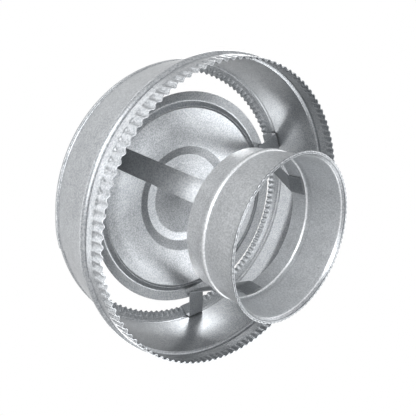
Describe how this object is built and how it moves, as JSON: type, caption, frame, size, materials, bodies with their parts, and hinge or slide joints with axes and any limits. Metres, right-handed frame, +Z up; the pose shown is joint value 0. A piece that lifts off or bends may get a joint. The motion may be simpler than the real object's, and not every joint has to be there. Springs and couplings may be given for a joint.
{
  "type": "anti-downdraft chimney cap",
  "caption": "Sheet-steel chimney cap: a flue collar carries a wide round wind band and a raised lid on bent straps, so wind from any side draws smoke out.",
  "frame": {"origin": "centre of the collar's mouth, in the plane that the cap stands on", "axes": "+Z up the flue through the collar to the lid, -Y towards bracket_front"},
  "size_m": [0.3334, 0.3334, 0.1891],
  "materials": {
    "galvanised_sheet": "galvanised sheet, satin, fine mottle",
    "galvanised_strap": "galvanised strap, satin, cut edges"
  },
  "bodies": {
    "root": {"collar": "galvanised_sheet", "wind_band": "galvanised_sheet", "lid": "galvanised_sheet", "bracket_front": "galvanised_strap", "bracket_right": "galvanised_strap", "bracket_left": "galvanised_strap"}
  },
  "joints": []
}
